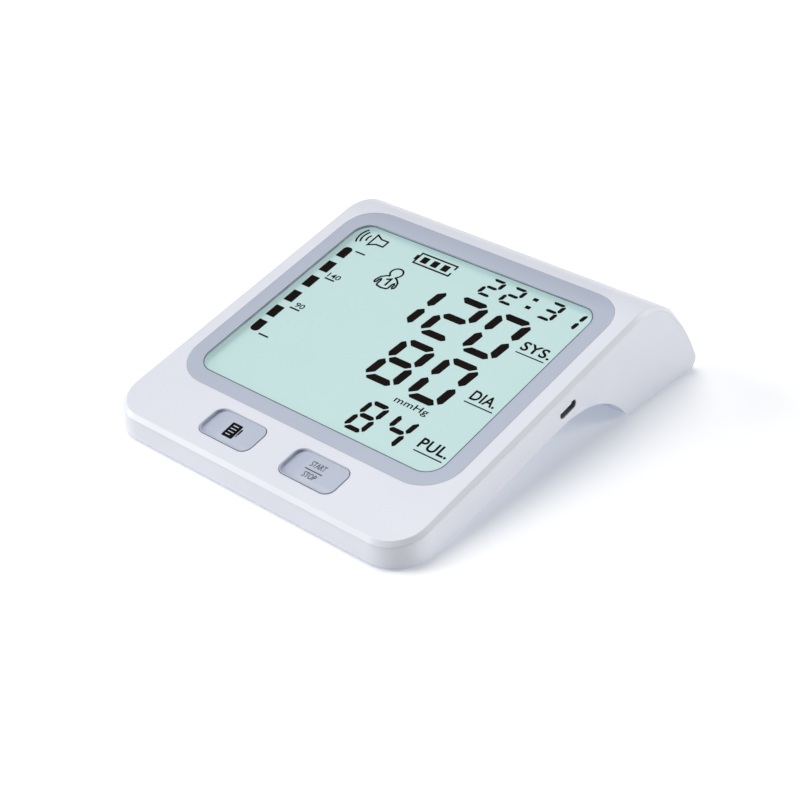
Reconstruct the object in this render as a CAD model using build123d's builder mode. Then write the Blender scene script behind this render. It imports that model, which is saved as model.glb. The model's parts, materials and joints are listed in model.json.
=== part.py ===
"""Upper arm blood pressure monitor, tabletop type.

A thin slab that leans up towards the back and stands on a hollow rear foot. The slab holds
a large liquid crystal display, the circuit board and two push buttons. The rear foot holds
four AA cells behind a door in its base, with the air pump, the release valve and the air
socket above them. A loudspeaker fires down through a grille in the arch under the slab.

Frame: +X is the user's right, +Y points to the back, +Z is up. The origin is under the
middle of the monitor, on the surface that its four rubber feet stand on. Millimetres.
"SLAB" is the plane of the top face: its local x is +X, its local y runs up the slope from
the front wall, and its local z is the outward normal, so depths below the face are negative.
"""

from build123d import *
import os
from math import cos, radians, sin, tan

os.makedirs("parts", exist_ok=True)

# ---------------------------------------------------------------- driving dimensions
WIDTH = 138.0  # over the side walls
DEPTH = 171.0  # front wall to the back of the heel
SLOPE = 13.3  # lean of the top face, degrees
FRONT_TOP = 10.1  # height of the top face where it meets the front wall
SLAB_T = 13.4  # slab thickness, square to the top face
FOOT_H = 0.8  # how far the rubber feet stand out below the housing
CORNER_R = 14.0  # front corners in plan
BEVEL = 1.4  # bevel round the top face
BEVEL_END = 0.15  # what is left of it at the heel, after it narrows down the back
BEVEL_STEPS = 6
RIM = 1.6  # depth of the parting line below the top face
WALL = 2.2  # shell thickness
PLATE = 2.4  # thickness of the top cover inside its rim
FIT = 0.15  # clearance between shells and between trim and its pocket

ROLL_R = 28.5  # radius where the top face rolls over to the back
ROLL_END = 44.0  # direction of the outward normal where the roll meets the back, degrees
BACK_END = 26.0  # direction of the outward normal at the bottom of the back, degrees
HEEL_R = 4.0  # rounding at the bottom of the back
ARCH_R = 39.5  # arch under the slab
ARCH_Y = 7.9  # where the arch is highest
ARCH_END = 39.8  # direction of the arch's normal where it meets the toe, degrees

BEZEL_W, BEZEL_L, BEZEL_R = 124.0, 110.9, 14.5  # grey frame round the display
BEZEL_S = 81.25  # its centre, up the slope from the front wall
BEZEL_T = 1.0
VIEW_W, VIEW_L, VIEW_R = 111.2, 95.6, 7.5  # opening that the display is seen through
VIEW_S = 79.9
LENS_W, LENS_L, LENS_R = 116.0, 100.6, 8.0
LENS_T = 1.0

LCD_W, LCD_L, LCD_T = 117.0, 101.0, 2.5  # display glass
LCD_TOP = -2.5
GUIDE_W, GUIDE_S0, GUIDE_S1, GUIDE_T = 116.0, 35.0, 129.5, 2.0  # light guide
HOLDER_W, HOLDER_L, HOLDER_WALL = 121.4, 104.6, 1.8  # frame that holds both
BOARD_TOP, BOARD_T = -7.6, 1.6
BOARD_W, BOARD_S0, BOARD_S1 = 132.4, 26.0, 131.0
TONGUE_W, TONGUE_S0 = 74.0, 9.0  # part of the board that reaches under the buttons
BOARD_SCREW_X, BOARD_SCREW_S = 63.9, (31.0, 100.0)
BOARD_SCREW_R, BOARD_HEAD_R, BOARD_HEAD_T = 0.75, 1.8, 1.2
POST_W, POST_R = 5.0, 2.2  # posts that carry the board
STRIP_W, STRIP_L = 112.0, 2.0  # rubber strip between the glass and the board

BUTTON_W, BUTTON_L, BUTTON_R = 24.0, 13.2, 3.6
BUTTON_XS, BUTTON_S = (-18.8, 19.5), 13.9
BUTTON_GAP = 0.25  # all round a button, in its hole
BUTTON_RISE = 0.2  # button rim above the top face
BUTTON_EDGE = 0.35  # width of the rim
DISH = 0.3  # flat pad below the rim
DISH_FLOOR = 0.6  # least thickness under the dish
BAND_SIDE, BAND_FRONT, BAND_R = 6.6, 2.7, 2.4  # finger band left and in front of the pad
BAND_SLOPE = 8.0  # how steeply the band falls away from the pad, degrees
BUTTON_TRAVEL = 0.6
FLANGE = 1.3  # how far a button's flange reaches under the cover
FLANGE_T = 0.8
STEM_R = 2.2  # post under a button that meets its plunger
SWITCH_W, SWITCH_TOP = 6.0, -5.0
SWITCH_FLOOR = 0.4
PLUNGER_R, PLUNGER_TOP = 1.75, -4.2
RUNNING = 0.05  # radial clearance of a running fit

PORT_S, PORT_W, PORT_H = 88.0, 8.94, 3.16  # charging port in the right wall, outside size
PORT_SHEET = 0.3
PORT_LENGTH, PORT_RECESS = 7.0, 0.25
PORT_BACK, PORT_TONGUE_W, PORT_TONGUE_T = 1.2, 6.69, 0.7

CELL_R, CELL_L, CELL_PITCH = 7.25, 50.5, 14.9  # AA cells
CELL_Y, CELL_Z = 53.2, 10.5  # front pair of cells
CELL_GAP = 0.1  # between the two cells of a row
NUB_R, NUB_L = 2.7, 1.2
BAY_X, BAY_WALL = 54.6, 1.6
BAY_R = 7.5
BAY_TOP = 18.0
DOOR_X, DOOR_Y0, DOOR_Y1, DOOR_T = 55.7, 44.6, 76.8, 1.4
HINGE_Y, HINGE_Z = 78.4, 2.1
KNUCKLE_R, KNUCKLE_L = 1.0, 9.0
STUB_R, STUB_L = 0.6, 1.2
TAB_XS = (-38.0, 0.0, 38.0)
SCOOP_W, SCOOP_R, SCOOP_DROP = 16.0, 3.0, 1.2  # finger scoop in front of the door
RIB_W, RIB_T, RIB_H, RIB_PITCH, RIB_COUNT = 14.0, 0.6, 0.3, 1.5, 9
CONTACT_T, CONTACT_W, CONTACT_H = 0.4, 11.0, 9.5
COIL_R, COIL_WIRE, COIL_PITCH = 3.2, 0.35, 1.3  # springs of the cells' negative ends

PUMP_Y, PUMP_Z, PUMP_R = 52.0, 27.9, 7.2  # the air line lies on the pump's axis
PUMP_HEAD_X, PUMP_CAN_X, PUMP_END_X, PUMP_BACK_X = -3.0, 13.0, 38.0, 41.0
SHAFT_R = 1.0
HEAD_WALL, CAN_WALL, MAGNET_T = 1.2, 0.6, 1.4
CUP_OFFSET, CUP_R, CUP_WALL, CUP_L = 3.2, 2.2, 0.6, 3.2
THIRDS = (90, 210, 330)  # directions of the three pump cups and core slots
VALVE_Y, VALVE_Z, VALVE_R = 62.5, 24.7, 4.6
VALVE_X0, VALVE_X1 = -21.0, -4.0
VALVE_TRAVEL = 0.8
VALVE_STEM_R, VALVE_DISC_R, VALVE_SEAT_R, VALVE_CHAMBER_R = 1.5, 2.2, 1.0, 2.6
VALVE_COIL_R, VALVE_WIRE, VALVE_PITCH = 1.6, 0.2, 0.65
MANIFOLD_X0, MANIFOLD_X1, MANIFOLD_R = -30.0, -24.0, 3.6
TUBE_R, TUBE_BORE = 2.3, 1.3
BARB_R, BARB_L, AIR_HOLE = 1.3, 4.5, 0.6
SOCKET_BORE_R, SOCKET_L = 2.1, 12.0  # air socket in the left wall
SOCKET_R, SOCKET_FLANGE_R = 5.0, 6.5
SENSOR_X, SENSOR_S = -27.0, 114.0
SENSOR_SIZE, SENSOR_T = 8.0, 5.0
SPEAKER_X, SPEAKER_R, SPEAKER_T, SPEAKER_ANGLE = 30.0, 10.0, 4.0, 62.0
SPEAKER_SEAT = 1.5
GRILLE_R, GRILLE_PITCH, GRILLE_ROWS = 0.8, 1.5, 5

FRONT_SCREW, BACK_SCREW = (48.0, -70.5), (62.2, 71.0)
FRONT_SPLIT, BACK_SPLIT = 6.5, 12.0  # height where the two bosses of a screw meet
BOSS_R, SCREW_R, HEAD_R, HEAD_T = 4.2, 1.5, 2.75, 1.8
HEAD_SINK = 1.4  # screw head above the base
SCREW_GRIP = 3.8  # length of a housing screw in the cover's boss
FRONT_FOOT, BACK_FOOT = (56.0, -77.0), (62.0, 52.0)
PAD_R, PAD_SINK = 5.0, 1.0

# ---------------------------------------------------------------- derived geometry
HALF_W = WIDTH / 2
Y_FRONT, Y_BACK = -DEPTH / 2, DEPTH / 2
SIN, COS, TAN = sin(radians(SLOPE)), cos(radians(SLOPE)), tan(radians(SLOPE))
SLAB = Plane(origin=(0, Y_FRONT, FRONT_TOP), x_dir=(1, 0, 0), z_dir=(0, -SIN, COS))
SIDE = Plane.YZ  # sketches of the side profile: local x is +Y, local y is +Z
BOARD_UNDER = BOARD_TOP - BOARD_T
FAR = 2 * DEPTH


def polar(centre, radius, angle):
    """Point at a distance and direction (degrees) from a centre, in the side view."""
    return (centre[0] + radius * cos(radians(angle)), centre[1] + radius * sin(radians(angle)))


def slab_point(x, s, w):
    """World position of a point given across, up the slope and out of the top face."""
    return SLAB.from_local_coords(Vector(x, s, w))


def cover_z(y, inset=0.0):
    """Height of the sloping top face, or of a parallel face under it."""
    return FRONT_TOP + (y - Y_FRONT) * TAN - inset / COS


def over_face(point):
    """Height of a side-view point above the top face, square to it."""
    return -(point[0] - Y_FRONT) * SIN + (point[1] - FRONT_TOP) * COS


# The back is a chain of tangent arcs from the top face to the heel. The radius of the
# middle arc follows from the others, because the chain has to meet the sloping face.
NORMAL = 90 + SLOPE
HEEL = (Y_BACK - HEEL_R, FOOT_H + HEEL_R)
BACK_FOOT_POINT = polar(HEEL, HEEL_R, BACK_END)
REACH = over_face(polar(polar(BACK_FOOT_POINT, -ROLL_R, ROLL_END), ROLL_R, NORMAL))
REACH_PER_MM = over_face(polar(polar((Y_FRONT, FRONT_TOP), 1, ROLL_END), -1, BACK_END))
BACK_R = -REACH / REACH_PER_MM
BACK = polar(BACK_FOOT_POINT, -BACK_R, BACK_END)
ROLL = polar(polar(BACK, BACK_R, ROLL_END), -ROLL_R, ROLL_END)

# The arch touches the underside of the slab, and the toe touches the arch and the base.
ARCH = (ARCH_Y, FRONT_TOP + ((ARCH_Y - Y_FRONT) * SIN - SLAB_T - ARCH_R) / COS)
ARCH_FOOT_POINT = polar(ARCH, ARCH_R, ARCH_END)
TOE_R = (ARCH_FOOT_POINT[1] - FOOT_H) / (1 - sin(radians(ARCH_END)))
TOE = polar(ARCH_FOOT_POINT, TOE_R, ARCH_END)


def over_roll_end(point):
    """Distance in front of the plane across the end of the roll."""
    return (point.Z - ROLL[1]) * cos(radians(ROLL_END)) - (point.Y - ROLL[0]) * sin(radians(ROLL_END))


def back_curves(inset):
    """Tangent arcs of the roll, the back and the top of the heel, set in by a distance."""
    CenterArc(ROLL, ROLL_R - inset, NORMAL, ROLL_END - NORMAL)
    CenterArc(BACK, BACK_R - inset, ROLL_END, BACK_END - ROLL_END)
    CenterArc(HEEL, HEEL_R - inset, BACK_END, -BACK_END)


def base_curves(inset):
    """From the heel, under the foot and the arch, to the front wall."""
    base = FOOT_H + inset
    slope_y = Y_FRONT + (base - FRONT_TOP + (SLAB_T - inset) / COS) / TAN
    CenterArc(HEEL, HEEL_R - inset, 0, -90)
    Line((HEEL[0], base), (TOE[0], base))
    CenterArc(TOE, TOE_R - inset, -90, ARCH_END - 90)
    CenterArc(ARCH, ARCH_R + inset, ARCH_END, NORMAL - ARCH_END)
    Polyline(polar(ARCH, ARCH_R + inset, NORMAL), (slope_y, base), (Y_FRONT + inset, base))


def side_block(inset, half_width):
    """The closed side profile, set in by a distance, as a block across the monitor."""
    with BuildPart(mode=Mode.PRIVATE) as block:
        with BuildSketch(SIDE):
            with BuildLine():
                back_curves(inset)
                base_curves(inset)
                Polyline(
                    (Y_FRONT + inset, FOOT_H + inset),
                    (Y_FRONT + inset, cover_z(Y_FRONT + inset, inset)),
                    polar(ROLL, ROLL_R - inset, NORMAL),
                )
            make_face()
        extrude(amount=half_width, both=True)
    return block.part


def under_cover(depth):
    """Everything lower than a surface parallel to the cover, down past the base."""
    with BuildPart(mode=Mode.PRIVATE) as region:
        with BuildSketch(SIDE):
            with BuildLine():
                back_curves(depth)
                Polyline(
                    (HEEL[0] + HEEL_R - depth, HEEL[1]),
                    (FAR, HEEL[1]),
                    (FAR, -FAR),
                    (-FAR, -FAR),
                    (-FAR, cover_z(-FAR, depth)),
                    polar(ROLL, ROLL_R - depth, NORMAL),
                )
            make_face()
        extrude(amount=WIDTH, both=True)
    return region.part


def plan_prism(inset):
    """Upright prism over the plan outline, with round front corners."""
    front = Y_FRONT + inset
    with BuildPart(mode=Mode.PRIVATE) as prism:
        with BuildSketch(Plane.XY.offset(-DEPTH)):
            with Locations((0, front + DEPTH)):
                Rectangle(WIDTH - 2 * inset, 2 * DEPTH)
            fillet(vertices().group_by(Axis.Y)[0], CORNER_R - inset)
        extrude(amount=2 * DEPTH)
    return prism.part


def slab_prism(width, length, radius, s, top, bottom, x=0.0):
    """Block set square to the top face, between two depths, with its centre at (x, s)."""
    with BuildPart(mode=Mode.PRIVATE) as block:
        with BuildSketch(SLAB.offset(bottom)):
            with Locations((x, s)):
                if radius:
                    RectangleRounded(width, length, radius)
                else:
                    Rectangle(width, length)
        extrude(amount=top - bottom)
    return block.part


def rod(start, end, radius):
    """Round bar between two points."""
    start, end = Vector(*start), Vector(*end)
    with BuildPart(mode=Mode.PRIVATE) as bar:
        with BuildSketch(Plane(origin=start, z_dir=end - start)):
            Circle(radius)
        extrude(amount=(end - start).length)
    return bar.part


def box_between(low, high):
    """Block between two opposite corners."""
    size = [b - a for a, b in zip(low, high)]
    corner = (Align.MIN, Align.MIN, Align.MIN)
    return Pos(*low) * Box(*size, align=corner, mode=Mode.PRIVATE)


def x_rod(x0, x1, radius, y=PUMP_Y, z=PUMP_Z):
    """Round bar along X."""
    return rod((x0, y, z), (x1, y, z), radius)


def save(part, name):
    """Labels a finished piece and writes its STEP."""
    part.label = name
    export_step(part, f"parts/{name}.step")


def mirrored(x, y):
    """The two places of a feature that both halves of the monitor have."""
    return ((-x, y), (x, y))


# ---------------------------------------------------------------- the two shells
with BuildPart() as envelope:  # outside of the closed monitor, without the bevel
    add(side_block(0, HALF_W))
    add(plan_prism(0), mode=Mode.INTERSECT)


def roll_cut(front):
    """Everything on one side of the plane across the end of the roll, down to the heel."""
    far_side = ROLL_END + 90 if front else ROLL_END - 90
    inner, outer = polar(ROLL, -FAR, ROLL_END), polar(ROLL, FAR, ROLL_END)
    with BuildPart(mode=Mode.PRIVATE) as region:
        with BuildSketch(SIDE):
            Polygon(inner, outer, polar(outer, FAR, far_side), polar(inner, FAR, far_side), align=None)
        extrude(amount=WIDTH, both=True)
        add(box_between((-FAR, -FAR, -FAR), (FAR, FAR, HEEL[1])), mode=Mode.SUBTRACT)
    return region.part


def back_wedge(side):
    """What the bevel takes off one side of the back: it narrows from the roll to the heel."""
    with BuildPart(mode=Mode.PRIVATE) as wedge:
        for step in range(BEVEL_STEPS + 1):
            angle = ROLL_END + (BACK_END - ROLL_END) * step / BEVEL_STEPS
            width = BEVEL + (BEVEL_END - BEVEL) * step / BEVEL_STEPS
            corner = Vector(side * HALF_W, *polar(BACK, BACK_R, angle))
            along = Vector(0, sin(radians(angle)), -cos(radians(angle)))
            with BuildSketch(Plane(origin=corner, x_dir=(side, 0, 0), z_dir=along)):
                Polygon(
                    (-width - BEVEL, -side * BEVEL),
                    (BEVEL, -side * BEVEL),
                    (BEVEL, side * (width + BEVEL)),
                    align=None,
                )
        loft(ruled=True)
    return wedge.part


with BuildPart() as crown:  # its upper part, with the bevel round the top face
    add(envelope.part)
    add(roll_cut(front=True), mode=Mode.INTERSECT)
    rims = [
        e for e in edges()
        if (e @ 0.5).Z > HEEL[1] + 0.01
        and abs((e % 0.5).Z) < 0.999
        and (abs((e % 0.5).X) < 0.999 or (e @ 0.5).Y < Y_FRONT + 0.01)
        and over_roll_end(e @ 0.5) > 0.01
    ]
    chamfer(rims, BEVEL)

with BuildPart() as nape:  # the back between the roll and the heel
    add(envelope.part)
    add(roll_cut(front=False), mode=Mode.INTERSECT)
    for side in (-1, 1):
        add(back_wedge(side), mode=Mode.SUBTRACT)


under_rim = under_cover(RIM)
under_plate = under_cover(PLATE)
under_trim = under_cover(BEZEL_T)
bezel_slab = slab_prism(BEZEL_W, BEZEL_L, BEZEL_R, BEZEL_S, BEZEL_T, -2 * BEZEL_T)
bezel_pocket = slab_prism(
    BEZEL_W + 2 * FIT, BEZEL_L + 2 * FIT, BEZEL_R + FIT, BEZEL_S, BEZEL_T, -2 * BEZEL_T
)
lens_hole = slab_prism(
    LENS_W + 2 * FIT, LENS_L + 2 * FIT, LENS_R + FIT, VIEW_S, BEZEL_T, -2 * PLATE
)
button_holes = [
    slab_prism(
        BUTTON_W + 2 * BUTTON_GAP, BUTTON_L + 2 * BUTTON_GAP, BUTTON_R + BUTTON_GAP,
        BUTTON_S, BEZEL_T, -2 * PLATE, x,
    )
    for x in BUTTON_XS
]
SCREWS = [(x, y, FRONT_SPLIT) for x, y in mirrored(*FRONT_SCREW)]
SCREWS += [(x, y, BACK_SPLIT) for x, y in mirrored(*BACK_SCREW)]

with BuildPart() as cover_bosses:  # posts that take the four housing screws
    for x, y, split in SCREWS:
        with BuildSketch(Plane.XY.offset(split)):
            with Locations((x, y)):
                Circle(BOSS_R)
        extrude(amount=DEPTH)
    add(under_cover(PLATE - FIT), mode=Mode.INTERSECT)
    for x, y, split in SCREWS:
        add(rod((x, y, split), (x, y, split + SCREW_GRIP + 0.2), SCREW_R - 0.25), mode=Mode.SUBTRACT)

with BuildPart() as lip_gap:  # ring that leaves room for the housing's walls
    add(under_rim)
    add(plan_prism(WALL + FIT), mode=Mode.SUBTRACT)

with BuildPart() as trim_pocket:
    add(bezel_pocket)
    add(under_trim, mode=Mode.SUBTRACT)

with BuildPart() as top_cover:
    add(crown.part)
    add(nape.part)
    add(under_plate, mode=Mode.SUBTRACT)
    add(lip_gap.part, mode=Mode.SUBTRACT)
    add(cover_bosses.part)
    add(trim_pocket.part, mode=Mode.SUBTRACT)
    add(lens_hole, mode=Mode.SUBTRACT)
    for hole in button_holes:
        add(hole, mode=Mode.SUBTRACT)
save(top_cover.part, "top_cover")


def cradle(radius, half_length, top):
    """Block round the two rows of cells, open towards the base."""
    with BuildPart(mode=Mode.PRIVATE) as block:
        with BuildSketch(SIDE):
            with Locations((CELL_Y, CELL_Z), (CELL_Y + CELL_PITCH, CELL_Z)):
                Circle(radius)
            with Locations((CELL_Y + CELL_PITCH / 2, CELL_Z / 2)):
                Rectangle(CELL_PITCH + 2 * radius, CELL_Z)
            if top:
                with Locations((CELL_Y + CELL_PITCH / 2, top - radius / 2)):
                    Rectangle(CELL_PITCH, radius)
        extrude(amount=half_length, both=True)
    return block.part


def speaker_disc(radius, near, far):
    """Round plate square to the arch at the loudspeaker, between two distances from it."""
    centre = Vector(SPEAKER_X, *ARCH)
    out = Vector(0, cos(radians(SPEAKER_ANGLE)), sin(radians(SPEAKER_ANGLE)))
    return rod(centre + out * (ARCH_R + near), centre + out * (ARCH_R + far), radius)


GRILLE_PLANE = Plane(
    origin=Vector(SPEAKER_X, *polar(ARCH, ARCH_R - 2, SPEAKER_ANGLE)),
    x_dir=(1, 0, 0),
    z_dir=(0, cos(radians(SPEAKER_ANGLE)), sin(radians(SPEAKER_ANGLE))),
)
FOOT_PADS = mirrored(*FRONT_FOOT) + mirrored(*BACK_FOOT)
port_centre = (BOARD_TOP + BOARD_UNDER) / 2


def port_prism(width, height, x0, x1):
    """Rounded bar along X on the charging port's axis, long side up the slope."""
    with BuildPart(mode=Mode.PRIVATE) as bar:
        start = slab_point(x0, PORT_S, port_centre)
        with BuildSketch(Plane(origin=start, x_dir=(0, COS, SIN), z_dir=(1, 0, 0))):
            RectangleRounded(width, height, height / 2 - 0.05)
        extrude(amount=x1 - x0)
    return bar.part


with BuildPart() as over_room:  # opens the hollow up to the parting line
    add(plan_prism(WALL))
    add(under_cover(WALL), mode=Mode.SUBTRACT)

with BuildPart() as hollow:  # the room inside the walls, less what stands in it
    add(side_block(WALL, HALF_W))
    add(plan_prism(WALL), mode=Mode.INTERSECT)
    add(over_room.part)
    add(cradle(BAY_R + BAY_WALL, BAY_X + BAY_WALL, BAY_TOP + BAY_WALL), mode=Mode.SUBTRACT)
    for x, y, split in SCREWS:
        add(rod((x, y, 0), (x, y, split), BOSS_R), mode=Mode.SUBTRACT)
    for x in (-BOARD_SCREW_X, BOARD_SCREW_X):
        for s in BOARD_SCREW_S:
            post = slab_prism(POST_W, POST_W, POST_R, s, BOARD_UNDER, -3 * SLAB_T, x)
            add(post, mode=Mode.SUBTRACT)
    add(speaker_disc(SPEAKER_R + 1.2, 0, WALL + SPEAKER_SEAT + 1.0), mode=Mode.SUBTRACT)

with BuildPart() as lower_housing:
    add(envelope.part)
    add(under_rim, mode=Mode.INTERSECT)
    add(hollow.part, mode=Mode.SUBTRACT)
    # Battery bay and the rebate that its door closes.
    add(cradle(BAY_R, BAY_X, 0), mode=Mode.SUBTRACT)
    add(
        box_between(
            (-DOOR_X - FIT, DOOR_Y0 - FIT, -1),
            (DOOR_X + FIT, DOOR_Y1 + FIT, FOOT_H + DOOR_T + 0.05),
        ),
        mode=Mode.SUBTRACT,
    )
    with BuildSketch(SIDE):  # bevel that the door's back edge swings past
        Polygon(
            (DOOR_Y1 + FIT - 1, HINGE_Z + 0.1),
            (DOOR_Y1 + FIT, HINGE_Z + 0.1),
            (HINGE_Y - 0.6, FOOT_H),
            (HINGE_Y - 0.6, FOOT_H - 1),
            (DOOR_Y1 + FIT - 1, FOOT_H - 1),
            align=None,
        )
    extrude(amount=DOOR_X + FIT, both=True, mode=Mode.SUBTRACT)
    for x in TAB_XS:  # notches and stub holes of the door's three hinge knuckles
        half = KNUCKLE_L / 2 + 0.25
        add(box_between((x - half, DOOR_Y1 - 1, -1), (x + half, HINGE_Y + 1.5, 5)), mode=Mode.SUBTRACT)
        stub_half = KNUCKLE_L / 2 + STUB_L + 0.2
        add(x_rod(x - stub_half, x + stub_half, STUB_R + RUNNING, HINGE_Y, HINGE_Z), mode=Mode.SUBTRACT)
    scoop = x_rod(-SCOOP_W / 2, SCOOP_W / 2, SCOOP_R, DOOR_Y0, FOOT_H - SCOOP_DROP)
    add(scoop, mode=Mode.SUBTRACT)
    # Screws, rubber feet, ports and the loudspeaker's seat and grille.
    for x, y, split in SCREWS:
        add(rod((x, y, -1), (x, y, split), SCREW_R + 0.2), mode=Mode.SUBTRACT)
        add(rod((x, y, -1), (x, y, FOOT_H + HEAD_SINK + HEAD_T), HEAD_R + 0.25), mode=Mode.SUBTRACT)
    for x, y in FOOT_PADS:
        add(rod((x, y, -1), (x, y, FOOT_H + PAD_SINK), PAD_R), mode=Mode.SUBTRACT)
    for x in (-BOARD_SCREW_X, BOARD_SCREW_X):
        for s in BOARD_SCREW_S:
            hole_end = slab_point(x, s, BOARD_UNDER - 3.0)
            hole = rod(slab_point(x, s, BOARD_UNDER + 1), hole_end, BOARD_SCREW_R)
            add(hole, mode=Mode.SUBTRACT)
    add(port_prism(PORT_W + 0.3, PORT_H + 0.3, HALF_W - WALL - 1, HALF_W + 1), mode=Mode.SUBTRACT)
    add(x_rod(-HALF_W - 1, -HALF_W + WALL + 1, SOCKET_R + RUNNING), mode=Mode.SUBTRACT)
    add(speaker_disc(SPEAKER_R, WALL + SPEAKER_SEAT, WALL + 2 * SPEAKER_SEAT + 2), mode=Mode.SUBTRACT)
    add(speaker_disc(SPEAKER_R - 1.5, WALL, WALL + 2 * SPEAKER_SEAT), mode=Mode.SUBTRACT)
    with BuildSketch(GRILLE_PLANE):
        with HexLocations(GRILLE_PITCH, GRILLE_ROWS, GRILLE_ROWS):
            Circle(GRILLE_R)
    extrude(amount=WALL + 6, mode=Mode.SUBTRACT)
save(lower_housing.part, "lower_housing")


# ---------------------------------------------------------------- display
with BuildPart() as display_bezel:
    add(bezel_slab)
    add(envelope.part, mode=Mode.INTERSECT)
    add(under_trim, mode=Mode.SUBTRACT)
    add(
        slab_prism(VIEW_W, VIEW_L, VIEW_R, VIEW_S, BEZEL_T, -2 * BEZEL_T),
        mode=Mode.SUBTRACT,
    )
    add(
        slab_prism(LENS_W + FIT, LENS_L + FIT, LENS_R, VIEW_S, -BEZEL_T, -2 * BEZEL_T),
        mode=Mode.SUBTRACT,
    )
save(display_bezel.part, "display_bezel")

with BuildPart() as display_lens:
    add(slab_prism(LENS_W, LENS_L, LENS_R, VIEW_S, -BEZEL_T, -BEZEL_T - LENS_T))
save(display_lens.part, "display_lens")

with BuildPart() as lcd_panel:
    add(slab_prism(LCD_W, LCD_L, 0, VIEW_S, LCD_TOP, LCD_TOP - LCD_T))
save(lcd_panel.part, "lcd_panel")

guide_top = LCD_TOP - LCD_T
with BuildPart() as light_guide:
    add(
        slab_prism(
            GUIDE_W, GUIDE_S1 - GUIDE_S0, 1.0, (GUIDE_S0 + GUIDE_S1) / 2,
            guide_top, guide_top - GUIDE_T,
        )
    )
save(light_guide.part, "light_guide")

HOLDER_INNER_W, HOLDER_INNER_L = HOLDER_W - 2 * HOLDER_WALL, HOLDER_L - 2 * HOLDER_WALL
with BuildPart() as lcd_holder:  # frame with a ledge under the light guide
    add(slab_prism(HOLDER_W, HOLDER_L, 2.0, VIEW_S, 0, BOARD_TOP))
    add(under_cover(PLATE + 0.1), mode=Mode.INTERSECT)
    add(
        slab_prism(HOLDER_INNER_W, HOLDER_INNER_L, 0, VIEW_S, 0, guide_top - GUIDE_T),
        mode=Mode.SUBTRACT,
    )
    add(
        slab_prism(HOLDER_INNER_W - 8, HOLDER_INNER_L - 12, 2.0, VIEW_S + 2.0, 0, -SLAB_T),
        mode=Mode.SUBTRACT,
    )
    strip_s = VIEW_S - HOLDER_INNER_L / 2 + 2.0
    strip_slot = slab_prism(
        STRIP_W + 4 * FIT, STRIP_L + 4 * FIT, 0, strip_s, 0, -SLAB_T,
    )
    add(strip_slot, mode=Mode.SUBTRACT)
save(lcd_holder.part, "lcd_holder")

with BuildPart() as contact_strip:  # rubber strip that joins the glass to the board
    add(slab_prism(STRIP_W, STRIP_L, 0, strip_s, guide_top, BOARD_TOP))
save(contact_strip.part, "lcd_contact_strip")

# ---------------------------------------------------------------- circuit board
with BuildPart() as main_board:
    board_mid = (BOARD_S0 + BOARD_S1) / 2
    add(slab_prism(BOARD_W, BOARD_S1 - BOARD_S0, 2.0, board_mid, BOARD_TOP, BOARD_UNDER))
    tongue_mid = (TONGUE_S0 + BOARD_S0) / 2 + 1
    add(slab_prism(TONGUE_W, BOARD_S0 - TONGUE_S0 + 2, 1.5, tongue_mid, BOARD_TOP, BOARD_UNDER))
    notch_x = HALF_W - PORT_LENGTH - PORT_RECESS
    add(
        slab_prism(20.0, PORT_W + 0.4, 0, PORT_S, 0, -SLAB_T, notch_x + 10.0 - 0.2),
        mode=Mode.SUBTRACT,
    )
    for x in (-BOARD_SCREW_X, BOARD_SCREW_X):
        for s in BOARD_SCREW_S:
            add(rod(slab_point(x, s, 0), slab_point(x, s, -SLAB_T), 1.1), mode=Mode.SUBTRACT)
save(main_board.part, "main_board")

with BuildPart() as board_screws:
    for x in (-BOARD_SCREW_X, BOARD_SCREW_X):
        for s in BOARD_SCREW_S:
            top = BOARD_TOP + BOARD_HEAD_T
            tip = slab_point(x, s, BOARD_UNDER - 2.5)
            add(rod(slab_point(x, s, top), slab_point(x, s, BOARD_TOP), BOARD_HEAD_R))
            add(rod(slab_point(x, s, BOARD_TOP), tip, BOARD_SCREW_R))
            slot = slab_prism(0.5, 3.0, 0, s, top, top - 0.5, x)
            add(slot, mode=Mode.SUBTRACT)
save(board_screws.part, "board_screws")

CHIPS = (  # x, distance up the slope, width, length, height, under the board
    (18.0, 62.0, 12.0, 12.0, 1.4),
    (-22.0, 58.0, 10.0, 10.0, 1.2),
    (44.0, 84.0, 5.0, 6.0, 1.5),
    (44.0, 72.0, 6.0, 6.0, 1.8),
    (-6.0, 88.0, 5.0, 6.4, 1.5),
)
with BuildPart() as board_chips:
    for x, s, width, length, height in CHIPS:
        add(slab_prism(width, length, 0, s, BOARD_UNDER, BOARD_UNDER - height, x))
save(board_chips.part, "board_chips")


def sensor_rod(s0, s1, radius):
    """Round bar up the slope through the pressure sensor's nozzle."""
    depth = BOARD_UNDER - SENSOR_T / 2
    return rod(slab_point(SENSOR_X, s0, depth), slab_point(SENSOR_X, s1, depth), radius)


sensor_end = SENSOR_S + SENSOR_SIZE / 2
nozzle_end = sensor_end + BARB_L
with BuildPart() as pressure_sensor:
    sensor_bottom = BOARD_UNDER - SENSOR_T
    add(slab_prism(SENSOR_SIZE, SENSOR_SIZE, 0, SENSOR_S, BOARD_UNDER, sensor_bottom, SENSOR_X))
    add(sensor_rod(sensor_end - 1, nozzle_end, BARB_R))
    add(sensor_rod(sensor_end, nozzle_end + 1, AIR_HOLE), mode=Mode.SUBTRACT)
save(pressure_sensor.part, "pressure_sensor")

# Charging port: a rolled steel shell round a contact tongue, let into the board's edge.
port_x0, port_x1 = HALF_W - PORT_RECESS - PORT_LENGTH, HALF_W - PORT_RECESS
with BuildPart() as port_shell:
    add(port_prism(PORT_W, PORT_H, port_x0, port_x1))
    inner_w, inner_h = PORT_W - 2 * PORT_SHEET, PORT_H - 2 * PORT_SHEET
    add(port_prism(inner_w, inner_h, port_x0 + PORT_BACK, port_x1 + 1), mode=Mode.SUBTRACT)
save(port_shell.part, "charging_port_shell")

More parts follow.
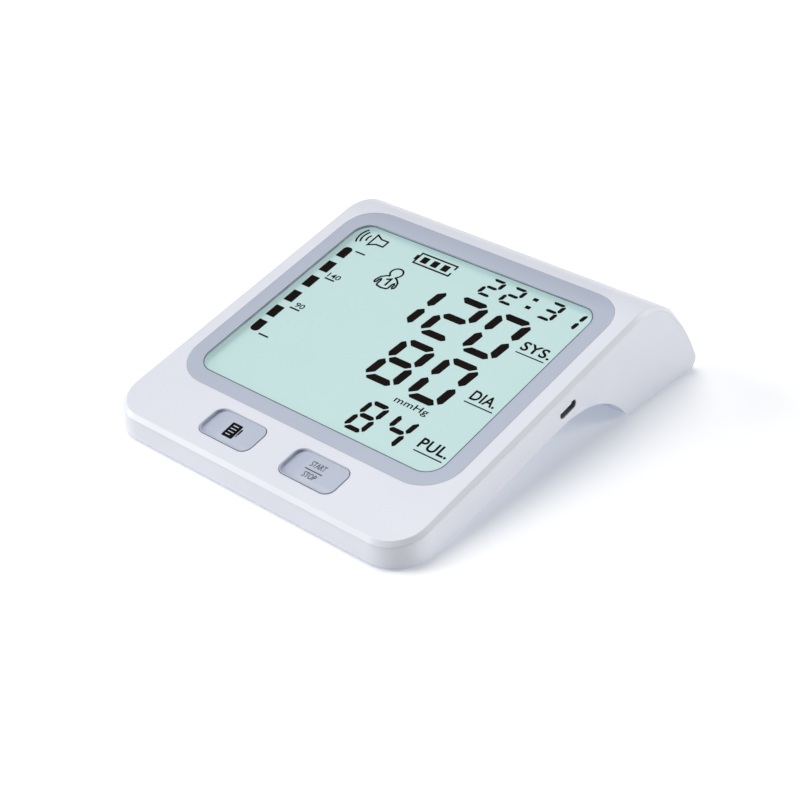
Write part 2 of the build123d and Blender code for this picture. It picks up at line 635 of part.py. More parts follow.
with BuildPart() as port_tongue:
    add(port_prism(PORT_TONGUE_W, PORT_TONGUE_T, port_x0 + PORT_BACK, port_x1 - 0.8))
save(port_tongue.part, "charging_port_tongue")

# ---------------------------------------------------------------- buttons and switches


def button_pad(x):
    """Flat pad with the finger band falling away from it to the left and to the front."""
    pad_x = x + BAND_SIDE  # the pad reaches past the button's right and back edges
    pad_s = BUTTON_S + BAND_FRONT
    pad_w = BUTTON_RISE - DISH
    with BuildPart(mode=Mode.PRIVATE) as pad:
        for grow in (0, BAND_SIDE + 1):
            with BuildSketch(SLAB.offset(pad_w - grow * tan(radians(BAND_SLOPE)))):
                with Locations((pad_x, pad_s)):
                    RectangleRounded(BUTTON_W + 2 * grow, BUTTON_L + 2 * grow, BAND_R + grow)
        loft(ruled=True)
    return pad.part


for name, x in zip(("memory", "start"), BUTTON_XS):
    with BuildPart() as dish:  # what is hollowed out inside the rim
        with BuildSketch(SLAB.offset(BUTTON_RISE)):
            with Locations((x, BUTTON_S)):
                RectangleRounded(
                    BUTTON_W - 2 * BUTTON_EDGE, BUTTON_L - 2 * BUTTON_EDGE, BUTTON_R - BUTTON_EDGE,
                )
        extrude(amount=-BUTTON_RISE - PLATE + DISH_FLOOR, taper=18)
        add(button_pad(x), mode=Mode.SUBTRACT)

    with BuildPart() as cap:
        with BuildSketch(SLAB.offset(-PLATE - 0.1)):
            with Locations((x, BUTTON_S)):
                RectangleRounded(BUTTON_W, BUTTON_L, BUTTON_R)
        extrude(amount=PLATE + 0.1 + BUTTON_RISE)
        add(dish.part, mode=Mode.SUBTRACT)
        with BuildSketch(SLAB.offset(-PLATE - 0.1)):
            with Locations((x, BUTTON_S)):
                RectangleRounded(BUTTON_W + 2 * FLANGE, BUTTON_L + 2 * FLANGE, BUTTON_R + FLANGE)
        extrude(amount=-FLANGE_T)
        add(rod(slab_point(x, BUTTON_S, -PLATE), slab_point(x, BUTTON_S, PLUNGER_TOP), STEM_R))
    save(cap.part, f"{name}_button")

    with BuildPart() as switch:
        with BuildSketch(SLAB.offset(BOARD_TOP)):
            with Locations((x, BUTTON_S)):
                RectangleRounded(SWITCH_W, SWITCH_W, 0.3)
        extrude(amount=SWITCH_TOP - BOARD_TOP)
        well = rod(
            slab_point(x, BUTTON_S, 0), slab_point(x, BUTTON_S, BOARD_TOP + SWITCH_FLOOR),
            PLUNGER_R + RUNNING,
        )
        add(well, mode=Mode.SUBTRACT)
    save(switch.part, f"{name}_switch")

    with BuildPart() as plunger:
        plunger_bottom = BOARD_TOP + SWITCH_FLOOR + BUTTON_TRAVEL + 0.1
        add(
            rod(
                slab_point(x, BUTTON_S, plunger_bottom), slab_point(x, BUTTON_S, PLUNGER_TOP),
                PLUNGER_R,
            )
        )
    save(plunger.part, f"{name}_plunger")

# ---------------------------------------------------------------- loudspeaker
seat = WALL + SPEAKER_SEAT
with BuildPart() as speaker_basket:  # steel cup, open towards the grille
    add(speaker_disc(SPEAKER_R - 0.1, seat, seat + SPEAKER_T))
    add(speaker_disc(SPEAKER_R - 0.8, seat - 1, seat + 1.2), mode=Mode.SUBTRACT)
    add(speaker_disc(5.0, seat, seat + SPEAKER_T - 0.8), mode=Mode.SUBTRACT)
save(speaker_basket.part, "speaker_basket")

with BuildPart() as speaker_cone:
    add(speaker_disc(SPEAKER_R - 0.8, seat + 0.2, seat + 0.5))
    add(speaker_disc(3.4, seat + 0.2, seat + 2.6))
    add(speaker_disc(2.9, seat + 0.7, seat + 3), mode=Mode.SUBTRACT)
save(speaker_cone.part, "speaker_cone")

# ---------------------------------------------------------------- air line
with BuildPart() as air_socket:  # takes the cuff hose's plug
    add(x_rod(-HALF_W, -HALF_W + SOCKET_L + 2, SOCKET_R))
    add(x_rod(-HALF_W + WALL, -HALF_W + WALL + 1.6, SOCKET_FLANGE_R))
    socket_end = -HALF_W + SOCKET_L + 2 + BARB_L
    add(x_rod(-HALF_W + SOCKET_L, socket_end, BARB_R))
    add(x_rod(-HALF_W - 1, -HALF_W + SOCKET_L, SOCKET_BORE_R), mode=Mode.SUBTRACT)
    add(x_rod(-HALF_W, socket_end + 1, AIR_HOLE), mode=Mode.SUBTRACT)
save(air_socket.part, "air_socket")

with BuildPart() as air_manifold:
    start = Plane(origin=(MANIFOLD_X0, 0, 0), x_dir=(0, 1, 0), z_dir=(1, 0, 0))
    with BuildSketch(start):
        with Locations((PUMP_Y, PUMP_Z), (VALVE_Y, VALVE_Z)):
            Circle(MANIFOLD_R)
        make_hull()
    extrude(amount=MANIFOLD_X1 - MANIFOLD_X0)
    add(x_rod(MANIFOLD_X0 - BARB_L, MANIFOLD_X1 + BARB_L, BARB_R))
    sensor_port = PUMP_Y - MANIFOLD_R - BARB_L
    add(rod((SENSOR_X, sensor_port, PUMP_Z), (SENSOR_X, PUMP_Y, PUMP_Z), BARB_R))
    add(x_rod(MANIFOLD_X0 - BARB_L - 1, MANIFOLD_X1 + BARB_L + 1, AIR_HOLE), mode=Mode.SUBTRACT)
    add(
        rod((SENSOR_X, sensor_port - 1, PUMP_Z), (SENSOR_X, PUMP_Y, PUMP_Z), AIR_HOLE),
        mode=Mode.SUBTRACT,
    )
    add(
        rod((SENSOR_X, PUMP_Y, PUMP_Z), (SENSOR_X, VALVE_Y, VALVE_Z), AIR_HOLE),
        mode=Mode.SUBTRACT,
    )
    add(x_rod(SENSOR_X, MANIFOLD_X1 + 1, AIR_HOLE, VALVE_Y, VALVE_Z), mode=Mode.SUBTRACT)
save(air_manifold.part, "air_manifold")


def x_tube(x0, x1, name):
    """Straight silicone tube on the pump's axis."""
    with BuildPart() as tube:
        add(x_rod(x0, x1, TUBE_R))
        add(x_rod(x0 - 1, x1 + 1, TUBE_BORE), mode=Mode.SUBTRACT)
    save(tube.part, name)


x_tube(-HALF_W + SOCKET_L + 2.3, MANIFOLD_X0 - 0.3, "cuff_tube")
x_tube(MANIFOLD_X1 + 0.3, PUMP_HEAD_X - 0.3, "pump_tube")

nozzle_depth = BOARD_UNDER - SENSOR_T / 2
tube_start = slab_point(SENSOR_X, sensor_end + 0.3, nozzle_depth)
tube_bend = slab_point(SENSOR_X, 0, nozzle_depth)
bend_y = tube_bend.Y + (PUMP_Z - tube_bend.Z) / TAN
with BuildPart() as sensor_tube:
    with BuildLine() as route:
        FilletPolyline(
            tube_start, (SENSOR_X, bend_y, PUMP_Z), (SENSOR_X, PUMP_Y - MANIFOLD_R - 0.3, PUMP_Z),
            radius=12.0,
        )
    with BuildSketch(Plane(origin=route.line @ 0, z_dir=route.line % 0)):
        Circle(TUBE_R)
        Circle(TUBE_BORE, mode=Mode.SUBTRACT)
    sweep()
save(sensor_tube.part, "sensor_tube")

# ---------------------------------------------------------------- air pump
CUPS_X = PUMP_HEAD_X + 4.0  # where the head's solid end gives way to its chamber
CUPS_END = CUPS_X + CUP_WALL + 0.2 + CUP_L
with BuildPart() as pump_head:  # valve chamber with the outlet
    add(x_rod(PUMP_HEAD_X, PUMP_CAN_X, PUMP_R))
    add(x_rod(PUMP_HEAD_X - BARB_L, PUMP_HEAD_X + 1, BARB_R))
    add(x_rod(CUPS_X, PUMP_CAN_X + 1, PUMP_R - HEAD_WALL), mode=Mode.SUBTRACT)
    add(x_rod(PUMP_HEAD_X - BARB_L - 1, CUPS_X + 1, AIR_HOLE), mode=Mode.SUBTRACT)
save(pump_head.part, "pump_head")

with BuildPart() as pump_diaphragm:  # three rubber cups on one disc
    add(x_rod(CUPS_X, CUPS_END - CUP_L, PUMP_R - HEAD_WALL))
    for turn in THIRDS:
        cup = polar((PUMP_Y, PUMP_Z), CUP_OFFSET, turn)
        add(x_rod(CUPS_END - CUP_L, CUPS_END, CUP_R, *cup))
        add(x_rod(CUPS_X - 1, CUPS_END - CUP_WALL, CUP_R - CUP_WALL, *cup), mode=Mode.SUBTRACT)
save(pump_diaphragm.part, "pump_diaphragm")

with BuildPart() as pump_can:  # motor case
    add(x_rod(PUMP_CAN_X, PUMP_END_X, PUMP_R))
    add(x_rod(PUMP_CAN_X + 0.8, PUMP_END_X + 1, PUMP_R - CAN_WALL), mode=Mode.SUBTRACT)
    add(x_rod(PUMP_CAN_X - 1, PUMP_CAN_X + 2, SHAFT_R + RUNNING), mode=Mode.SUBTRACT)
save(pump_can.part, "pump_can")

with BuildPart() as pump_magnet:
    add(x_rod(PUMP_CAN_X + 3, PUMP_END_X - 3, PUMP_R - CAN_WALL))
    add(x_rod(PUMP_CAN_X, PUMP_END_X, PUMP_R - CAN_WALL - MAGNET_T), mode=Mode.SUBTRACT)
save(pump_magnet.part, "pump_magnet")

with BuildPart() as pump_end_cap:
    add(x_rod(PUMP_END_X, PUMP_BACK_X, PUMP_R))
    add(x_rod(PUMP_END_X - 1, PUMP_BACK_X - 0.8, SHAFT_R + RUNNING), mode=Mode.SUBTRACT)
    for y in (PUMP_Y - 4, PUMP_Y + 4):  # terminals
        add(box_between((PUMP_BACK_X, y - 1, PUMP_Z - 0.2), (PUMP_BACK_X + 3, y + 1, PUMP_Z + 0.2)))
save(pump_end_cap.part, "pump_end_cap")

CRANK_X = CUPS_END + 1.6  # front of the crank disc
with BuildPart() as pump_rotor:  # shaft, wound core and the crank disc that works the cups
    add(x_rod(CRANK_X, PUMP_BACK_X - 1.0, SHAFT_R))
    add(x_rod(PUMP_CAN_X + 4, PUMP_END_X - 6, PUMP_R - CAN_WALL - MAGNET_T - 0.4))
    for turn in THIRDS:
        slot_y, slot_z = polar((PUMP_Y, PUMP_Z), 4.4, turn)
        add(x_rod(PUMP_CAN_X + 3, PUMP_END_X - 5, 1.0, slot_y, slot_z), mode=Mode.SUBTRACT)
    add(x_rod(CRANK_X, CRANK_X + 2.8, 4.0))
    add(x_rod(CRANK_X - 1.0, CRANK_X, 0.8, PUMP_Y, PUMP_Z + 2.0))
save(pump_rotor.part, "pump_rotor")

with BuildPart() as pump_foam:  # sleeve that keeps the pump's hum out of the housing
    foam_r = PUMP_Z - BAY_TOP - BAY_WALL - 0.02
    add(x_rod(PUMP_CAN_X + 4, PUMP_END_X - 4, foam_r))
    add(x_rod(PUMP_CAN_X, PUMP_END_X, PUMP_R), mode=Mode.SUBTRACT)
save(pump_foam.part, "pump_foam")

# ---------------------------------------------------------------- release valve
valve_at = (VALVE_Y, VALVE_Z)
chamber_x0, plunger_x0 = VALVE_X0 + 1.0, VALVE_X0 + 2.0
disc_x0 = plunger_x0 + VALVE_TRAVEL
with BuildPart() as valve_body:
    add(x_rod(VALVE_X0, VALVE_X1, VALVE_R, *valve_at))
    add(x_rod(MANIFOLD_X1, VALVE_X0 + 1, 2.0, *valve_at))
    guide = x_rod(VALVE_X0 + 2, VALVE_X1 - 1.2, VALVE_STEM_R + RUNNING, *valve_at)
    add(guide, mode=Mode.SUBTRACT)
    add(x_rod(chamber_x0, chamber_x0 + 4, VALVE_CHAMBER_R, *valve_at), mode=Mode.SUBTRACT)
    add(x_rod(chamber_x0, plunger_x0 - RUNNING, VALVE_SEAT_R, *valve_at))  # raised seat
    add(x_rod(MANIFOLD_X1 - 1, plunger_x0, AIR_HOLE, *valve_at), mode=Mode.SUBTRACT)
save(valve_body.part, "valve_body")

with BuildPart() as valve_plunger:  # open at rest, drawn shut against the seat
    add(x_rod(disc_x0, VALVE_X1 - 4.5, VALVE_STEM_R, *valve_at))
    add(x_rod(disc_x0, disc_x0 + 0.8, VALVE_DISC_R, *valve_at))
save(valve_plunger.part, "valve_plunger")

with BuildPart() as valve_spring:  # round the seat, holds the plunger off it
    with BuildLine():
        coil = Helix(
            pitch=VALVE_PITCH,
            height=disc_x0 - chamber_x0 - 2 * VALVE_WIRE - 0.1,
            radius=VALVE_COIL_R,
            center=(chamber_x0 + VALVE_WIRE + 0.05, *valve_at),
            direction=(1, 0, 0),
        )
    with BuildSketch(Plane(origin=coil @ 0, z_dir=coil % 0)):
        Circle(VALVE_WIRE)
    sweep(is_frenet=True)
save(valve_spring.part, "valve_spring")

# ---------------------------------------------------------------- batteries
ROWS = ((CELL_Y, 1), (CELL_Y + CELL_PITCH, -1))  # y, and which way the positive ends point
cell_middle = (CELL_L + CELL_GAP) / 2
with BuildPart() as battery_cells:
    for y, way in ROWS:
        for middle in (way - cell_middle, way + cell_middle):
            shoulder = middle + way * (CELL_L / 2 - NUB_L)
            add(x_rod(*sorted((middle - way * CELL_L / 2, shoulder)), CELL_R, y, CELL_Z))
            add(x_rod(*sorted((shoulder, shoulder + way * NUB_L)), NUB_R, y, CELL_Z))
save(battery_cells.part, "battery_cells")


def contact_plate(side, y):
    """Sprung-steel plate at one end of the bay, behind one cell."""
    x0, x1 = sorted((side * BAY_X, side * (BAY_X - CONTACT_T)))
    low = (x0, y - CONTACT_W / 2, CELL_Z - 5)
    return box_between(low, (x1, y + CONTACT_W / 2, CELL_Z - 5 + CONTACT_H))


def nub_contact(side, y):
    """Raised boss that meets a cell's positive end."""
    x0, x1 = sorted((side * (BAY_X - CONTACT_T), side * (CELL_L + 1.1)))
    return x_rod(x0, x1, NUB_R - 0.1, y, CELL_Z)


BACK_ROW_Y = CELL_Y + CELL_PITCH
with BuildPart() as bridge_contact:  # joins the two rows at the left end
    add(contact_plate(-1, CELL_Y))
    add(contact_plate(-1, BACK_ROW_Y))
    strap = (-BAY_X + CONTACT_T, BACK_ROW_Y, CELL_Z - 1)
    add(box_between((-BAY_X, CELL_Y, CELL_Z - 5), strap))
    add(nub_contact(-1, BACK_ROW_Y))
save(bridge_contact.part, "battery_contact_bridge")

with BuildPart() as positive_contact:
    add(contact_plate(1, CELL_Y))
    add(nub_contact(1, CELL_Y))
save(positive_contact.part, "battery_contact_positive")

with BuildPart() as negative_contact:
    add(contact_plate(1, BACK_ROW_Y))
save(negative_contact.part, "battery_contact_negative")

with BuildPart() as battery_springs:
    for y, way in ROWS:
        gap = BAY_X - CONTACT_T - (CELL_L - 1)
        with BuildLine():
            coil = Helix(
                pitch=COIL_PITCH,
                height=gap - 2 * COIL_WIRE - 0.2,
                radius=COIL_R,
                center=(-way * (BAY_X - CONTACT_T - COIL_WIRE - 0.05), y, CELL_Z),
                direction=(way, 0, 0),
            )
        with BuildSketch(Plane(origin=coil @ 0, z_dir=coil % 0)):
            Circle(COIL_WIRE)
        sweep(is_frenet=True)
save(battery_springs.part, "battery_springs")

with BuildPart() as battery_door:
    add(box_between((-DOOR_X, DOOR_Y0, FOOT_H), (DOOR_X, DOOR_Y1, FOOT_H + DOOR_T)))
    for x in TAB_XS:
        half = KNUCKLE_L / 2
        add(box_between((x - half, DOOR_Y1 - 1, FOOT_H + 0.4), (x + half, HINGE_Y, FOOT_H + DOOR_T)))
        add(x_rod(x - half, x + half, KNUCKLE_R, HINGE_Y, HINGE_Z))
        add(x_rod(x - half - STUB_L, x + half + STUB_L, STUB_R, HINGE_Y, HINGE_Z))
    for i in range(RIB_COUNT):  # grip ribs
        rib_y = DOOR_Y0 + 2.0 + i * RIB_PITCH
        add(box_between((-RIB_W / 2, rib_y, FOOT_H - RIB_H), (RIB_W / 2, rib_y + RIB_T, FOOT_H)))
save(battery_door.part, "battery_door")

# ---------------------------------------------------------------- fasteners and feet
with BuildPart() as housing_screws:
    for x, y, split in SCREWS:
        head = FOOT_H + HEAD_SINK
        add(rod((x, y, head), (x, y, head + HEAD_T), HEAD_R))
        add(rod((x, y, head + HEAD_T), (x, y, split + SCREW_GRIP), SCREW_R - 0.25))
        for turn in (0, 90):  # cross recess
            bar = Pos(x, y, head) * Rot(0, 0, turn) * Box(3.2, 0.7, 2.0, mode=Mode.PRIVATE)
            add(bar, mode=Mode.SUBTRACT)
save(housing_screws.part, "housing_screws")

with BuildPart() as rubber_feet:
    for x, y in FOOT_PADS:
        with BuildSketch(Plane.XY):
            with Locations((x, y)):
                Circle(PAD_R - 0.1)
        extrude(amount=FOOT_H + PAD_SINK)
    chamfer(edges().group_by(Axis.Z)[0], 0.4)
save(rubber_feet.part, "rubber_feet")
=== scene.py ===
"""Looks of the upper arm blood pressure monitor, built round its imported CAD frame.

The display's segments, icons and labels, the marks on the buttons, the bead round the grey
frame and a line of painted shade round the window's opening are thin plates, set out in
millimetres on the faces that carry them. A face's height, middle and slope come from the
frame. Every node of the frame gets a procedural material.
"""

import json
import math

import bpy
from mathutils import Matrix, Vector
from mathutils.geometry import convex_hull_2d


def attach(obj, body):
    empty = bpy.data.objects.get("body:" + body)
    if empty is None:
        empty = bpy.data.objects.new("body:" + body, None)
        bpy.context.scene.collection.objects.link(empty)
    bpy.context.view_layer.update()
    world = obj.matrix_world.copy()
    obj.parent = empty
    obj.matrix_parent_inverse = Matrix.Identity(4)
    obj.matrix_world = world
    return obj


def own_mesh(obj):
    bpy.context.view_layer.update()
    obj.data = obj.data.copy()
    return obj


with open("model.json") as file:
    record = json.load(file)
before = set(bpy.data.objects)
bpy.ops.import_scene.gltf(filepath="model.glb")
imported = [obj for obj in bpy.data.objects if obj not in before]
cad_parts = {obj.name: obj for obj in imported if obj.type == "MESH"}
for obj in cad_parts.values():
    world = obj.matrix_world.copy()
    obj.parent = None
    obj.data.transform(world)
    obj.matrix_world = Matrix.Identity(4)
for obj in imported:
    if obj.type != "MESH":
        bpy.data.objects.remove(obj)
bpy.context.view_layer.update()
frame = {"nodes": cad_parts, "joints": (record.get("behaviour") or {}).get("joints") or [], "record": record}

MM = 0.001
NODES = frame["nodes"]

# ---------------------------------------------------------------- slope of the top face
PRESS = next(j for j in frame["joints"] if j["name"] == "memory_button_press")
ACROSS = Vector((1, 0, 0))
OUT = -Vector(PRESS["axis"]).normalized()  # out of the top face
UP = OUT.cross(ACROSS).normalized()  # up the slope, towards the back


class Face:
    """The outer face of a sloping node: its middle is the origin, x is across, t up the slope."""

    def __init__(self, node, depth=0.0):
        points = [v.co for v in NODES[node].data.vertices]
        across = [p.x for p in points]
        along = [p.dot(UP) for p in points]
        high = max(p.dot(OUT) for p in points)
        self.middle = (min(across) + max(across)) / 2 / MM
        self.centre = (min(along) + max(along)) / 2
        self.high = high - depth * MM

    def at(self, x, t, lift=0.0):
        """World place, in metres, of a point given in millimetres."""
        return (
            ACROSS * (self.middle + x) * MM
            + UP * (self.centre + t * MM)
            + OUT * (self.high + lift * MM)
        )

    def matrix(self):
        """Turns the face's own frame, in millimetres, into world metres."""
        turn = Matrix((ACROSS, UP, OUT)).transposed().to_4x4()
        return Matrix.Translation(self.at(0, 0)) @ turn @ Matrix.Scale(MM, 4)


# ---------------------------------------------------------------- printed plates
PRINT_T = 0.06  # thickness of a printed or etched mark, mm
PRINT_LIFT = 0.07  # its top above the face that carries it, mm
ARC_STEP = math.radians(15)
CORNER_POINTS = 4  # on each rounded corner
CORNER_REACH = 0.45  # the longest share of a side that a rounded corner may take
MITRE_LIMIT = 0.5  # keeps the mitre of a sharp corner short
LETTER_POINTS = 4  # on each curve of a letter


def arc(centre, radius, start, end):
    """Points along an arc, in degrees."""
    start, end = math.radians(start), math.radians(end)
    count = max(2, math.ceil(abs(end - start) / ARC_STEP) + 1)
    turns = [start + (end - start) * i / (count - 1) for i in range(count)]
    return [(centre[0] + radius * math.cos(a), centre[1] + radius * math.sin(a)) for a in turns]


def rounded(points, radius):
    """A closed outline with its corners rounded."""
    result = []
    count = len(points)
    for i, corner in enumerate(points):
        corner = Vector(corner)
        before, after = Vector(points[i - 1]), Vector(points[(i + 1) % count])
        back, on = (before - corner), (after - corner)
        reach = min(radius, CORNER_REACH * back.length, CORNER_REACH * on.length)
        a, b = corner + back.normalized() * reach, corner + on.normalized() * reach
        for k in range(CORNER_POINTS):
            u = k / (CORNER_POINTS - 1)
            result.append(tuple(a * (1 - u) ** 2 + corner * 2 * u * (1 - u) + b * u**2))
    return result


def block(x0, x1, t0, t1, radius=0.15):
    """Outline of an upright rectangle."""
    return rounded([(x0, t0), (x1, t0), (x1, t1), (x0, t1)], radius)


def lettering(text, weight, spacing):
    """Flat mesh of a text in the built-in typeface."""
    curve = bpy.data.curves.new("label", "FONT")
    curve.body = text
    curve.offset = weight
    curve.space_character = spacing
    curve.resolution_u = LETTER_POINTS
    holder = bpy.data.objects.new("label", curve)
    mesh = bpy.data.meshes.new_from_object(holder)
    bpy.data.objects.remove(holder)
    return mesh


class Print:
    """Flat marks gathered into one thin closed mesh on a face."""

    def __init__(self):
        self.points = []
        self.faces = []

    def fill(self, outline):
        """One filled outline."""
        first = len(self.points)
        self.points += outline
        self.faces.append(list(range(first, first + len(outline))))

    def stroke(self, points, width, closed=False):
        """A line of even width through the points, mitred at its corners."""
        count = len(points)
        points = [Vector(p) for p in points]
        first = len(self.points)
        for i, point in enumerate(points):
            before = points[i - 1] if closed or i else None
            after = points[(i + 1) % count] if closed or i < count - 1 else None
            into = (point - before).normalized() if before is not None else None
            away = (after - point).normalized() if after is not None else into
            into = away if into is None else into
            normal = Vector((-into.y - away.y, into.x + away.x)).normalized()
            half = width / 2 / max(MITRE_LIMIT, normal.dot(Vector((-into.y, into.x))))
            self.points += [tuple(point + normal * half), tuple(point - normal * half)]
        for i in range(count if closed else count - 1):
            a, b = first + 2 * i, first + 2 * ((i + 1) % count)
            self.faces.append([a, a + 1, b + 1, b])

    def write(self, text, x0, x1, t0, t1, weight=0.0, spacing=1.0):
        """A short generic label, fitted to a box from its baseline to its cap height."""
        mesh = lettering(text, weight, spacing)
        xs = [v.co.x for v in mesh.vertices]
        cap_ys = [v.co.y for v in lettering("H", weight, 1.0).vertices]
        low, high = min(cap_ys), max(cap_ys)
        wide, tall = (x1 - x0) / (max(xs) - min(xs)), (t1 - t0) / (high - low)
        first = len(self.points)
        for v in mesh.vertices:
            self.points.append((x0 + (v.co.x - min(xs)) * wide, t0 + (v.co.y - low) * tall))
        for polygon in mesh.polygons:
            self.faces.append([first + i for i in polygon.vertices])

    def place(self, name, face, body, slot, material, lift):
        """Makes the piece, a little above the face that carries it."""
        mesh = bpy.data.meshes.new(name)
        to_world = face.matrix()
        places = [to_world @ Vector((x, t, lift)) for x, t in self.points]
        mesh.from_pydata(places, [], self.faces)
        mesh.validate()
        for polygon in mesh.polygons:
            if polygon.normal.dot(OUT) < 0:
                polygon.flip()
        piece = bpy.data.objects.new(name, mesh)
        bpy.context.collection.objects.link(piece)
        solid = piece.modifiers.new("thickness", "SOLIDIFY")
        solid.thickness = PRINT_T * MM
        solid.offset = -1.0
        piece.data.materials.append(material)
        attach(piece, body)


# ---------------------------------------------------------------- material helpers
NOISE_LOW, NOISE_HIGH = 0.3, 0.7  # most of a noise's values lie between these
MIX_FIRST, MIX_SECOND, MIX_RESULT = 6, 7, 2  # colour sockets of a Mix node
EDGE_SAMPLES = 8
TINT_SIZE, TINT_SHARE = 40, 0.03  # mm, and the share that a moulding darkens by
PATCH_SIZE = 9  # of a moulding's smoother and rougher patches, mm
STREAK = 0.06  # scale of drawn metal's noise along X, which draws it out into streaks
METAL_PATCH, METAL_GRAIN = 2.0, 0.5  # mm


def colour(red, green, blue):
    """Linear colour from an 8-bit screen colour."""
    def linear(value):
        value /= 255
        return value / 12.92 if value <= 0.04045 else ((value + 0.055) / 1.055) ** 2.4
    return (linear(red), linear(green), linear(blue), 1.0)


class Material:
    """A principled material with a few procedural layers, in object space."""

    def __init__(self, name, base, roughness, **sockets):
        self.material = bpy.data.materials.new(name)
        self.material.use_nodes = True
        self.tree = self.material.node_tree
        self.shader = self.tree.nodes["Principled BSDF"]
        self.base = base
        self.shader.inputs["Base Color"].default_value = base
        self.shader.inputs["Roughness"].default_value = roughness
        self.roughness = roughness
        for socket, value in sockets.items():
            self.shader.inputs[socket.replace("_", " ")].default_value = value
        self.place = self.node("ShaderNodeTexCoord").outputs["Object"]
        self.normal = None

    def node(self, kind, **values):
        node = self.tree.nodes.new(kind)
        for key, value in values.items():
            setattr(node, key, value)
        return node

    def link(self, output, target):
        self.tree.links.new(output, target)

    def noise(self, size_mm, detail=2.0, roughness=0.5):
        """Noise whose features are about size_mm across."""
        noise = self.node("ShaderNodeTexNoise")
        noise.inputs["Scale"].default_value = 1 / (size_mm * MM)
        noise.inputs["Detail"].default_value = detail
        noise.inputs["Roughness"].default_value = roughness
        self.link(self.place, noise.inputs["Vector"])
        return noise.outputs["Fac"]

    def span(self, value, low, high):
        """Maps a noise to a range."""
        ranged = self.node("ShaderNodeMapRange")
        limits = {"From Min": NOISE_LOW, "From Max": NOISE_HIGH, "To Min": low, "To Max": high}
        for socket, number in limits.items():
            ranged.inputs[socket].default_value = number
        self.link(value, ranged.inputs["Value"])
        return ranged.outputs["Result"]

    def mottle(self, size_mm, first, second):
        """Base colour that wanders between two, over about size_mm."""
        mix = self.node("ShaderNodeMix", data_type="RGBA")
        mix.inputs[MIX_FIRST].default_value = first
        mix.inputs[MIX_SECOND].default_value = second
        self.link(self.span(self.noise(size_mm), 0, 1), mix.inputs["Factor"])
        self.link(mix.outputs[MIX_RESULT], self.shader.inputs["Base Color"])
        return self

    def tint(self, size_mm, share):
        """Slow, faint change of colour, such as a large moulding has."""
        darker = tuple(c * (1 - share) for c in self.base[:3]) + (1.0,)
        return self.mottle(size_mm, self.base, darker)

    def glow(self, tone, strength):
        """A weak light of its own."""
        self.shader.inputs["Emission Color"].default_value = tone
        self.shader.inputs["Emission Strength"].default_value = strength
        return self

    def vary_roughness(self, size_mm, share):
        """Patches that are a little smoother and a little rougher."""
        low, high = self.roughness * (1 - share), min(1.0, self.roughness * (1 + share))
        noise = self.noise(size_mm, detail=4.0)
        self.link(self.span(noise, low, high), self.shader.inputs["Roughness"])
        return self

    def soft_edges(self, radius_mm):
        """Rounds the look of the sharp edges."""
        bevel = self.node("ShaderNodeBevel")
        bevel.samples = EDGE_SAMPLES
        bevel.inputs["Radius"].default_value = radius_mm * MM
        self.normal = bevel.outputs["Normal"]
        self.link(self.normal, self.shader.inputs["Normal"])
        return self

    def grain(self, size_mm, strength, distance_mm=0.02):
        """Fine relief, such as spark-eroded mould grain, on top of the softened edges."""
        bump = self.node("ShaderNodeBump")
        bump.inputs["Distance"].default_value = distance_mm * MM
        bump.inputs["Strength"].default_value = strength
        self.link(self.noise(size_mm, detail=3.0, roughness=0.6), bump.inputs["Height"])
        if self.normal is not None:
            self.link(self.normal, bump.inputs["Normal"])
        self.link(bump.outputs["Normal"], self.shader.inputs["Normal"])
        return self


def moulded(name, base, roughness, grain=0.25, edge=0.25, size=0.35, patchy=0.12):
    """Injection-moulded plastic with mould grain, faint patches and softened edges."""
    made = Material(name, base, roughness)
    made.tint(TINT_SIZE, TINT_SHARE).vary_roughness(PATCH_SIZE, patchy)
    if edge:
        made.soft_edges(edge)
    made.grain(size, grain)
    return made


def metal(name, base, roughness):
    """Drawn or plated metal with faint streaks along X."""
    made = Material(name, base, roughness, Metallic=1.0)
    stretch = made.node("ShaderNodeMapping")
    stretch.inputs["Scale"].default_value = (STREAK, 1.0, 1.0)
    made.link(made.place, stretch.inputs["Vector"])
    made.place = stretch.outputs["Vector"]
    made.tint(METAL_PATCH, share=0.12).vary_roughness(METAL_GRAIN, share=0.3)
    made.soft_edges(radius_mm=0.08)
    made.grain(METAL_GRAIN, strength=0.2, distance_mm=0.01)
    return made


def printing(name, base, size):
    """Flat printing ink, a little uneven."""
    made = Material(name, base, roughness=0.6, Specular_IOR_Level=0.04)
    return made.tint(size, share=0.25).vary_roughness(size / 3, share=0.15)


# ---------------------------------------------------------------- the materials
shell = moulded("white_shell", colour(228, 229, 237), 0.38, grain=0.16, edge=0.35)
housing = moulded("white_housing", colour(226, 228, 237), 0.42, grain=0.18, edge=0.35)
bezel = moulded("grey_trim", colour(181, 188, 204), 0.36, grain=0.08, edge=0.0, size=0.5,
                patchy=0.03)
button = moulded("grey_button", colour(186, 193, 209), 0.33, grain=0.1, edge=0.3)
dark = moulded("dark_plastic", colour(38, 38, 40), 0.5)
rubber = moulded("rubber", colour(96, 100, 108), 0.75, grain=0.4)
silicone = moulded("silicone", colour(214, 214, 208), 0.45, grain=0.1, edge=0.0)
foam = moulded("foam", colour(42, 42, 44), 0.95, grain=0.9, size=0.8)
epoxy = moulded("black_epoxy", colour(24, 24, 26), 0.45, grain=0.3, edge=0.1)
guide = moulded("clear_guide", colour(238, 240, 240), 0.2, grain=0.05, edge=0.1)
# The port's tongue glows a little: painted light, so that it shows pale in the shaded port.
TONGUE = colour(224, 226, 232)
tongue = moulded("light_tongue_painted_glow", TONGUE, 0.4, grain=0.08, edge=0.05).glow(TONGUE, strength=0.4)
board = moulded("board", colour(22, 92, 50), 0.35, grain=0.3, edge=0.0, size=0.2)
steel = metal("steel", colour(196, 196, 198), 0.28)
nickel = metal("nickel", colour(206, 202, 192), 0.25)
